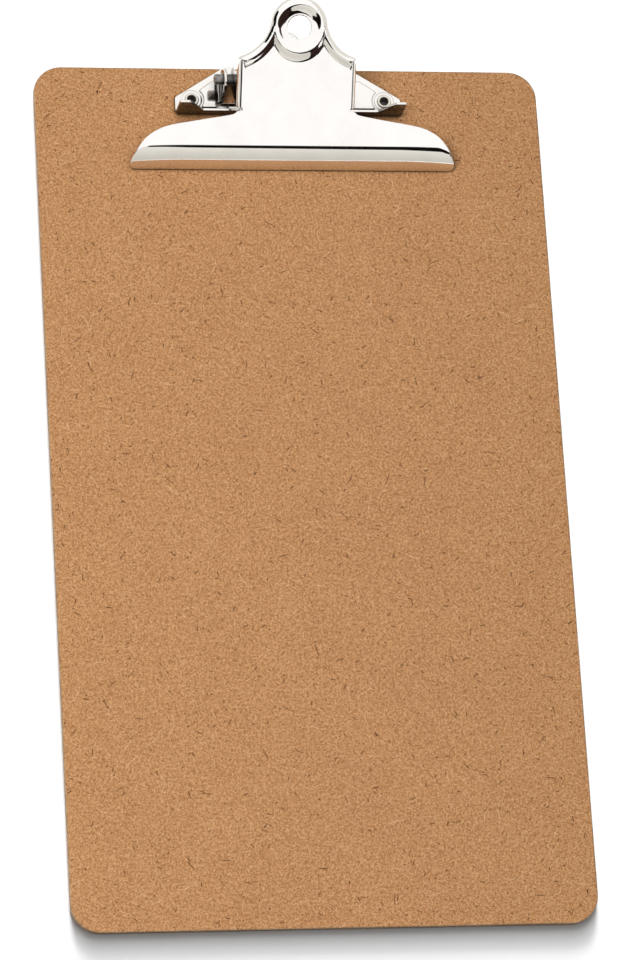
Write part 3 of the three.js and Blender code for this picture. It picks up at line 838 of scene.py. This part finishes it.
def build_base_plate():
    outline = base_outline()
    loops, panels = [outline], {}
    strewn = [offset(outline, 0.35), offset(outline, 1.0)]
    for side in (1, -1):
        panels[side] = panel_loop(side)
        loops += [
            window_loop(side),
            circle(side * RIVET[0], RIVET[1], RIVET_HOLE_R + SHEET_EDGE_R, 48),
            circle(side * ear_x(EAR_TOP, side), PIVOT[1], BORE_R + SHEET_EDGE_R, 36),
        ]
        strewn += wing_points(side, panels[side])
    fixed = np.concatenate(loops)
    pts = thinned(np.concatenate(strewn), fixed, 0.16)
    grid = np.array([(u, v) for u in np.arange(-51, 51.1, 2.0) for v in np.arange(159, 216, 2.0)])
    grid = thinned(grid, np.concatenate([fixed, pts]), 1.3)
    co, tris = fill(loops, np.concatenate([pts, grid]))
    pos = base_surface(co, base_height(co, outline, panels))
    verts, faces = thicken(pos, tris, SHEET, SHEET_EDGE_R)
    verts[:, 2] = np.maximum(verts[:, 2], FRONT)
    piece("base_plate_pressing", verts, faces, BASE_PLATE, BASE_BODY, ["base_plate"])


# ---- lever ----
def to_row(pts):
    """Plate-frame points (x, y, z) in the row frame."""
    x, y, z = np.array(pts, float).T
    c, s = math.cos(TILT), math.sin(TILT)
    return np.stack([HOLE[0] + x, HOLE[1] + y * c - z * s, HOLE[2] + y * s + z * c], 1)


PIVOT_Y = (PIVOT[1] - HOLE[1]) * math.cos(TILT) + (PIVOT[2] - HOLE[2]) * math.sin(TILT)
PIVOT_DOWN = (PIVOT[1] - HOLE[1]) * math.sin(TILT) - (PIVOT[2] - HOLE[2]) * math.cos(TILT)
SIDE_LEN = SIDE_R * math.pi / 2
LIP_S = BEND_Y - LIP_LEN
rim_height = smooth_line(RIM, flat_end=True)
dish_height = smooth_line(DISH, flat_end=True)
slope_height = smooth_line(RING_SLOPE, flat_end=True)
jaw_width = smooth_line(JAW_SHAPE)


def flange_x(down):
    """Where a depth below the top face lies on the unrolled flange."""
    return SEAM_X + SIDE_LEN + down - SIDE_R


def thumb_half():
    """Right half of the thumb end's outline, from its shoulder to its crown."""
    e = SHEET_EDGE_R
    hx, hy = HOLLOW_AT
    meet = math.degrees(math.atan2(hy - HUMP_Y, hx))
    return join((SHOULDER_AT[0] - e, SHOULDER_AT[1] - e * 0.6),
                arc(hx, hy, HOLLOW_R + e, 252, 180 + meet, 22),
                arc(0, HUMP_Y, HUMP_R - e, meet, 90, 20))


def jaw_edge():
    """The jaw's swept side on the unrolled sheet, for the right end."""
    p = np.concatenate([np.linspace(0, 2.2, 5), np.linspace(3, 20, 16), np.linspace(20.8, 27.9, 14)])
    return np.stack([jaw_width(p), LIP_S + p], 1)


def lever_outline():
    """The unrolled lever: lip and jaw, the side flanges laid flat, and the thumb end."""
    e = SHEET_EDGE_R
    jaw = offset(jaw_edge(), e, loop=False)
    jaw[0] = (JAW_SHAPE[0][1] - e, LIP_S + e * 0.5)
    flange = round_corners([
        (SEAM_X + 0.2, FLANGE_Y0), (flange_x(3.2), FLANGE_Y0 + 1.1),
        *arc(flange_x(PIVOT_DOWN), PIVOT_Y, FLANGE_R - e, 285, 430, 18),
        (flange_x(7.0), FLANGE_Y1 - 1.6), (SEAM_X + 1.8, FLANGE_Y1 - 0.2), (SEAM_X + 0.2, FLANGE_Y1),
    ], 0.8, 3)
    relief_low = [(SEAM_X + 1.3, FLANGE_Y0 - 0.95), (SEAM_X + 0.1, FLANGE_Y0 - 0.65)]
    relief_high = [(SEAM_X + 0.1, FLANGE_Y1 + 0.35), (SEAM_X + 1.0, FLANGE_Y1 + 0.75)]
    half = join((0, LIP_S + e * 0.5), jaw, relief_low, flange, relief_high, thumb_half())
    return respace(join(half, mirror(half)[1:-1]), 1.3, True)


def ring_reach(angle):
    """Distance from the hole's centre to the crease below the ring, in that direction."""
    s = np.sin(angle)
    b = -CREASE_Y * s
    return -b + np.sqrt(b * b - CREASE_Y ** 2 + CREASE_R ** 2)


def lever_height(x, y, rim_line):
    """Height of the pressed shapes above the flat plate: the thumb end's rim, the ring and its dish."""
    d = distance(np.stack([x, y], 1), rim_line)
    r, angle = np.hypot(x, y), np.arctan2(y, x)
    rim = rim_height(d + SHEET_EDGE_R)
    share = (r - RIDGE_R) / np.maximum(ring_reach(angle) - RIDGE_R, 0.6)
    ring = np.where(r < RIDGE_R, dish_height(r), slope_height(np.maximum(share, 0)))
    # rim and ring run into each other along a soft valley
    width = 0.10
    soft = width * np.logaddexp(rim / width, ring / width)
    soft -= width * math.log(2) * np.exp(-np.maximum(rim, ring) * 8)
    height = np.where(d < RIM_CREST - SHEET_EDGE_R, rim, soft)
    height = np.minimum(np.where(r < RIDGE_R, dish_height(r), height), RING_TOP)
    return np.where((np.abs(x) < PRESSED_X) & (y > PRESSED_Y), height, 0)


def lever_surface(co, rim_line):
    """The unrolled sheet's points (x, s) carried to where the pressed lever has them."""
    x, s = co.T
    ax = np.abs(x)
    # side view: straight, then the bend, then the curved lip
    q = np.linspace(-BEND_HALF, LIP_LEN, 400)
    a = np.radians(LIP_A0 * ease(-BEND_HALF, BEND_HALF, q)
                   + (LIP_A1 - LIP_A0) * np.maximum(q, 0) / LIP_LEN)

    def summed(rate):
        return np.concatenate([[0], np.cumsum((rate[1:] + rate[:-1]) / 2 * np.diff(q))])
    y_down, z_down = summed(np.cos(a)), summed(np.sin(a))
    past = BEND_Y - s
    y = np.where(past > -BEND_HALF, BEND_Y + BEND_HALF - np.interp(past, q, y_down), s)
    z = np.where(past > -BEND_HALF, -np.interp(past, q, z_down), 0)
    # the jaw's ends droop towards the board, and the plate rolls down along their edge
    c, sn = math.cos(TILT), math.sin(TILT)
    edge_y = BEND_Y + BEND_HALF - y_down[-1]
    rise = (y - edge_y) * sn + (z + z_down[-1]) * c
    over = np.maximum(0, ax - DROOP_FROM_X) / (JAW_SHAPE[2][1] - DROOP_FROM_X)
    drop = rise * DROOP * over ** 2
    y, z = y - drop * sn, z - drop * c
    tip = (ax > TIP_X0) & (s > BEND_Y - 3)
    to_edge = distance(np.stack([ax, s], 1)[tip], jaw_edge())
    roll = TIP_ROLL * ease(TIP_X0, TIP_X1, ax[tip]) * ease(BEND_Y - 3, BEND_Y + 1.5, s[tip])
    z[tip] -= roll * np.maximum(0, 1 - to_edge / TIP_ROLL_W) ** 2
    z = z + lever_height(x, s, rim_line)
    pos = np.stack([x, y, z], 1)
    # side flanges turn down past the seam
    along, down = folded(ax - SEAM_X, SIDE_R)
    side = (ax > SEAM_X) & (s > FLANGE_Y0 - 0.3) & (s < FLANGE_Y1 + 0.2)
    pos[side, 0] = (np.sign(x) * (SEAM_X + along))[side]
    pos[side, 2] = -down[side]
    return pos


def thumb_points(half, near):
    """Points round the dish, along the rim and down the ring's slope."""
    dish = [circle(0, 0, r, 96) for r in (5.75, 6.1, 6.6, 7.0, 7.3, 7.6, 8.0, 8.4, 8.8, 9.2, 9.5, 9.8,
                                          10.1, 10.4, 10.7, 11.0)]
    pts = thinned(np.concatenate(dish), near, 0.2)
    edge = respace(join(half, mirror(half)[1:]), 0.7)
    lines = [offset(edge, d, loop=False)
             for d in (0.15, 0.35, 0.6, 0.9, 1.2, 1.5, 1.8, 2.1, 2.4, 2.7, 3.0, 3.4, 3.9, 4.4, 4.8, 5.1,
                       5.4, 5.7, 6.1)]
    angle = np.radians(np.arange(-180, 0.1, 3.0))
    spokes = np.stack([np.cos(angle), np.sin(angle)], 1)
    lines += [spokes * (RIDGE_R + (ring_reach(angle) - RIDGE_R) * share)[:, None]
              for share in (0.12, 0.2, 0.3, 0.42, 0.56, 0.7, 0.82, 0.9, 0.96, 1.02, 1.08, 1.2)]
    for line in lines:
        clear = line[np.hypot(*line.T) > RIDGE_R + 0.35]
        pts = np.concatenate([pts, thinned(clear, np.concatenate([near, pts]), 0.22)])
    return pts


def flange_points(near):
    """Rings round the rod's holes, and rows across the folds of the side flanges."""
    pts = []
    fold = np.linspace(-0.25, SIDE_LEN + 0.25, 13)
    ys = np.arange(FLANGE_Y0 + 0.6, FLANGE_Y1 - 0.4, 1.0)
    for side in (1, -1):
        pts += [circle(side * flange_x(PIVOT_DOWN), PIVOT_Y, BORE_R + SHEET_EDGE_R + d, 40)
                for d in (0.35, 0.9)]
        pts.append(np.array([(side * (SEAM_X + u), v) for u in fold for v in ys]))
    return thinned(np.concatenate(pts), near, 0.2)


def jaw_points(outline):
    """Rows across the bend and down the lip."""
    rows = np.concatenate([BEND_Y - np.linspace(-BEND_HALF - 0.6, BEND_HALF + 0.4, 15),
                           BEND_Y - np.linspace(2.2, LIP_LEN - 0.9, 9), [LIP_S + 0.6]])
    tip = np.arange(48.5, 73.5, 1.1)
    columns = np.concatenate([np.arange(-47, 47.1, 2.35), tip, -tip])
    return thinned(np.array([(u, v) for v in rows for u in columns]), outline, 0.35)


def build_lever():
    outline, half = lever_outline(), thumb_half()
    past_x, past_y = SHOULDER_AT[0] + 8, SHOULDER_AT[1] - 2.0
    rim_line = join((past_x, past_y), half, mirror(half), (-past_x, past_y))
    loops = [outline, circle(0, 0, HOLE_R + SHEET_EDGE_R, 72)]
    loops += [circle(side * flange_x(PIVOT_DOWN), PIVOT_Y, BORE_R + SHEET_EDGE_R, 40) for side in (1, -1)]
    fixed = np.concatenate(loops)
    pts = np.concatenate([thumb_points(half, fixed), flange_points(fixed)])
    strip = jaw_points(outline)
    border = thinned(offset(outline, 0.35), np.concatenate([outline, pts, strip]), 0.25)
    pts = np.concatenate([pts, strip, border])
    grid = np.array([(u, v) for u in np.arange(-72, 72.1, 2.4) for v in np.arange(-52, -5, 2.4)])
    grid = thinned(grid, np.concatenate([fixed, pts]), 1.2)
    co, tris = fill(loops, np.concatenate([pts, grid]))
    verts, faces = thicken(lever_surface(co, rim_line), tris, SHEET, SHEET_EDGE_R)
    piece("lever_pressing", to_row(verts), faces, LEVER_PLATE, LEVER_BODY, ["lever"])


# ---- pins, rivets, washers ----
def build_rod():
    half = (ROD_HIGH[0] - ROD_LOW[0]) / 2
    r = ROD_R
    end = [(0, 0), (r * 0.45, 0.02), (r * 0.7, 0.1), (r * 0.86, 0.26), (r * 0.96, 0.5), (r, 0.85)]
    profile = [(u, -half + v) for u, v in end] + [(r, x) for x in (-half + 3, 0, half - 3)]
    profile += [(u, half - v) for u, v in reversed(end)]
    verts, faces = lathe(profile, 48)
    verts = np.stack([verts[:, 2], verts[:, 0], verts[:, 1]], 1) + PIVOT
    piece("pivot_rod_turned", verts, faces, ROD_STEEL, BASE_BODY, ["pivot_rod"])


def build_fixings():
    """Tubular rivets with rolled ends, and the washers let into the board's back."""
    top = FRONT + SHEET + EMBOSS_RISE
    rivet = round_corners([
        (1.75, 0.45), (2.0, 0.25), (3.25, 0.22), (3.3, 0.5), (2.35, 0.8), (2.35, top - 0.02), (3.1, top),
        (3.12, top + 0.3), (2.75, top + 0.55), (2.2, top + 0.5), (1.75, top + 0.05),
    ], 0.28, 4)
    washer = round_corners([
        (2.75, 0.85), (5.1, 0.95), (5.1, RECESS_DEPTH), (2.75, RECESS_DEPTH),
    ], 0.18, 4)
    for name, side in (("right", 1), ("left", -1)):
        for kind, profile, material, slot in (("rivet", rivet, RIVET_PLATE, "rivet_steel"),
                                              ("washer", washer, WASHER_STEEL, "washer_steel")):
            verts, faces = lathe(profile, 64, loop=True)
            verts = verts + [side * RIVET[0], RIVET[1], 0]
            piece(f"{kind}_{name}_turned", verts, faces, material, BASE_BODY, [f"{kind}_{name}"])


# ---- springs ----
POINTS_PER_TURN = 30


def spring_path(side):
    """A torsion spring's centre line, from its leg on the tongue, round the rod, to its leg under the
    lever; and its number of turns."""
    lever_end = to_row([(0, *LEG_LEVER)])[0][1:] - PIVOT[1:]
    base_end = np.array(LEG_BASE) - PIVOT[1:]

    def touch(end, turn):
        """Angle on the coil at which a straight leg from this end meets it."""
        return math.atan2(end[1], end[0]) + turn * math.acos(COIL_R / np.hypot(*end))
    a0, a1 = touch(base_end, -1), touch(lever_end, 1)
    while a1 > a0:
        a1 -= 2 * math.pi
    a1 -= 2 * math.pi * COIL_TURNS
    turns = (a0 - a1) / (2 * math.pi)
    f = np.linspace(0, 1, int(turns * POINTS_PER_TURN))
    a = a0 + (a1 - a0) * f
    coil = np.stack([COIL_X + turns * f * COIL_PITCH, COIL_R * np.cos(a), COIL_R * np.sin(a)], 1)
    leg0 = np.linspace([COIL_X, *base_end], coil[0], 12)[:-1]
    leg1 = np.linspace(coil[-1], [coil[-1][0], *lever_end], 12)[1:]
    line = np.concatenate([leg0, coil, leg1])
    line[:, 0] *= side
    return line + [0, PIVOT[1], PIVOT[2]], turns


def tube(line, radius, n=14):
    """A round wire along a line, with rounded ends."""
    t = np.gradient(line, axis=0)
    t /= np.linalg.norm(t, axis=1, keepdims=True)
    side = np.cross(t[0], [1.0, 0, 0])
    if np.linalg.norm(side) < 0.1:
        side = np.cross(t[0], [0, 0, 1.0])
    rings = []
    for p, d in zip(line, t):
        side = side - d * side.dot(d)
        side /= np.linalg.norm(side)
        rings.append((p, side, np.cross(d, side), d))
    ends = [(math.cos(a), math.sin(a)) for a in np.radians([75, 50, 25])]

    def loop(p, u, v, r):
        a = np.arange(n) * 2 * math.pi / n
        return p + r * (np.cos(a)[:, None] * u + np.sin(a)[:, None] * v)
    loops = [loop(rings[0][0] - rings[0][3] * radius * s, *rings[0][1:3], radius * c) for c, s in ends]
    loops += [loop(p, u, v, radius) for p, u, v, _ in rings]
    last = rings[-1]
    loops += [loop(last[0] + last[3] * radius * s, *last[1:3], radius * c) for c, s in reversed(ends)]
    verts = [p for l in loops for p in l]
    index = [list(range(i * n, i * n + n)) for i in range(len(loops))]
    faces = [f for a, b in zip(index, index[1:]) for f in ribbon(a, b)]
    faces += [tuple(index[0]), tuple(reversed(index[-1]))]
    return np.array(verts), [tuple(reversed(f)) for f in faces]


def build_springs():
    """The wires, one on each side of the lever."""
    for name, side in (("right", 1), ("left", -1)):
        line, turns = spring_path(side)
        verts, faces = tube(line, WIRE_R)
        first, last = COIL_X + COIL_PITCH * 0.45, COIL_X + COIL_PITCH * (turns - 0.45)
        span = [[side * x * MM, PIVOT[1] * MM, PIVOT[2] * MM] for x in (first, last)]
        piece(f"spring_{name}_wire", verts, faces, SPRING_STEEL, span, [f"spring_{name}"])


build_board()
build_base_plate()
build_lever()
build_rod()
build_fixings()
build_springs()


# ---- stage ----
def build_floor():
    material, n, at = new_material("studio_floor")
    tone = n.mix(n.noise(at, 3.0, 2.0), (0.86, 0.86, 0.86, 1), (0.88, 0.88, 0.88, 1))
    finish_material(n, n.add("ShaderNodeBsdfDiffuse", {"Color": tone, "Roughness": 0.0}))
    half, just_below = 30.0, -0.0002
    mesh = bpy.data.meshes.new("studio_floor")
    mesh.from_pydata([(-half, -half, just_below), (half, -half, just_below),
                      (half, half, just_below), (-half, half, just_below)], [], [(0, 1, 2, 3)])
    mesh.materials.append(material)
    obj = bpy.data.objects.new("studio_floor", mesh)
    bpy.context.scene.collection.objects.link(obj)
    obj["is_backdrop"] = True
    return obj


def build_world():
    """Even white for the camera, and what the plating mirrors: a bright ceiling, a dark gap below it
    on most sides, and pale walls below the gap. It lights nothing but reflections."""
    world = bpy.data.worlds.new("studio")
    bpy.context.scene.world = world
    world.use_nodes = True
    n = Nodes(world.node_tree)
    xyz = n.add("ShaderNodeSeparateXYZ", {0: n.add("ShaderNodeTexCoord").outputs["Generated"]})
    elevation = n.times(n.math("ARCSINE", xyz.outputs[2]), 180 / math.pi)
    nearer = n.times(xyz.outputs[1], -1.0)
    bearing = n.times(n.math("ARCTAN2", xyz.outputs[0], nearer), 180 / math.pi)

    def by_bearing(points):
        """An elevation that changes with the bearing, from (bearing, elevation) points in degrees."""
        places = [(b + 180) / 360 for b, _ in points]
        along = n.math("DIVIDE", n.plus(bearing, 180.0), 360.0)
        ramp = n.add("ShaderNodeValToRGB", {0: along})
        stops = ramp.color_ramp.elements
        stops[0].position, stops[1].position = places[:2]
        for place in places[2:]:
            stops.new(place)
        for stop, (_, v) in zip(stops, points):
            stop.color = (v / 90, v / 90, v / 90, 1)
        return n.times(ramp.outputs[0], 90.0)

    gap_low = by_bearing([
        (-180, 40), (-110, 40), (-95, 30), (-75, 31), (-60, 19), (-20, 24), (-12, 30), (-5, 44), (1, 44),
        (5, 37), (8, 36), (15, 24), (24, 18), (32, 0), (62, 0), (80, 44), (180, 44),
    ])
    gap_high = by_bearing([
        (-180, 40), (-110, 40), (-95, 50), (-75, 50), (-50, 44), (-28, 40), (-12, 42.5), (-5, 44),
        (1, 44), (5, 44.5), (16, 44.5), (30, 43), (62, 30), (80, 44), (180, 44),
    ])
    soft = 1.2
    above = n.range(n.minus(elevation, gap_high), -soft, soft)
    below = n.range(n.minus(gap_low, elevation), -soft, soft)
    gap = n.mix(n.range(bearing, 24, 34), (0.006, 0.005, 0.004, 1), (0.03, 0.016, 0.013, 1))
    wall = n.mix(n.range(elevation, -2, 28), (0.66, 0.64, 0.585, 1), (0.87, 0.85, 0.80, 1))
    ceiling = (1.15, 1.14, 1.15, 1)
    room = n.mix(above, n.mix(below, gap, wall), ceiling)
    camera_ray = n.add("ShaderNodeLightPath").outputs["Is Camera Ray"]
    seen = n.mix(camera_ray, room, (1.0, 1.0, 1.0, 1))
    out = n.add("ShaderNodeOutputWorld")
    background = n.add("ShaderNodeBackground", {"Color": seen, "Strength": 1.0})
    n.tree.links.new(background.outputs[0], out.inputs[0])
    world.cycles_visibility.diffuse = False


def lamp(name, kind, at, energy, receivers, **settings):
    """A lamp aimed at the origin that lights only its receivers and is not itself seen or mirrored."""
    data = bpy.data.lights.new(name, kind)
    data.energy = energy
    for key, value in settings.items():
        setattr(data, key, value)
    obj = bpy.data.objects.new(name, data)
    bpy.context.scene.collection.objects.link(obj)
    obj.location = at
    obj.rotation_mode = "QUATERNION"
    obj.rotation_quaternion = (Vector() - Vector(at)).to_track_quat("-Z", "Y")
    obj.visible_camera = obj.visible_glossy = False
    group = bpy.data.collections.new(f"{name}_lights")
    for o in receivers:
        group.objects.link(o)
    obj.light_linking.receiver_collection = group


floor = build_floor()
build_world()
lamp("softbox", "AREA", (-0.75, -0.1, 1.75), 46.5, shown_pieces(), shape="SQUARE", size=1.2)
# the floor has a tall narrow strip of light beyond the clip, and a broad light overhead
STRIP_ENERGY = {10: 9.4, 20: 2.1, 31: 0.84, 43: 0.53, 56: 0.35}      # by elevation in degrees
for height, energy in STRIP_ENERGY.items():
    a = math.radians(height)
    lamp(f"floor_strip_{height}", "SUN", (0, math.cos(a), math.sin(a)), energy, [floor],
         angle=math.radians(20))
lamp("floor_fill", "SUN", (0, 0, 1), 0.85, [floor], angle=math.radians(100))

# ---- camera ----
CAMERA_AT = Vector((-0.3922, -0.6519, 2.0309))
CAMERA_AIM = Vector((0.0040, 0.0032, 0.0032))
CAMERA_ROLL = math.radians(3.566)
CAMERA_LENS, SENSOR = 185.88, 36.0


def build_camera():
    data = bpy.data.cameras.new("camera")
    data.lens, data.sensor_width = CAMERA_LENS, SENSOR
    data.clip_start, data.clip_end = 0.1, 100.0
    camera = bpy.data.objects.new("camera", data)
    bpy.context.scene.collection.objects.link(camera)
    ahead = (CAMERA_AIM - CAMERA_AT).normalized()
    level = ahead.cross(Vector((0, 1, 0))).normalized()
    up = level.cross(ahead) * math.cos(CAMERA_ROLL) + level * math.sin(CAMERA_ROLL)
    camera.matrix_world = Matrix((ahead.cross(up), up, -ahead)).transposed().to_4x4()
    camera.matrix_world.translation = CAMERA_AT
    bpy.context.scene.camera = camera


build_camera()
bpy.context.scene.view_settings.view_transform = "Standard"
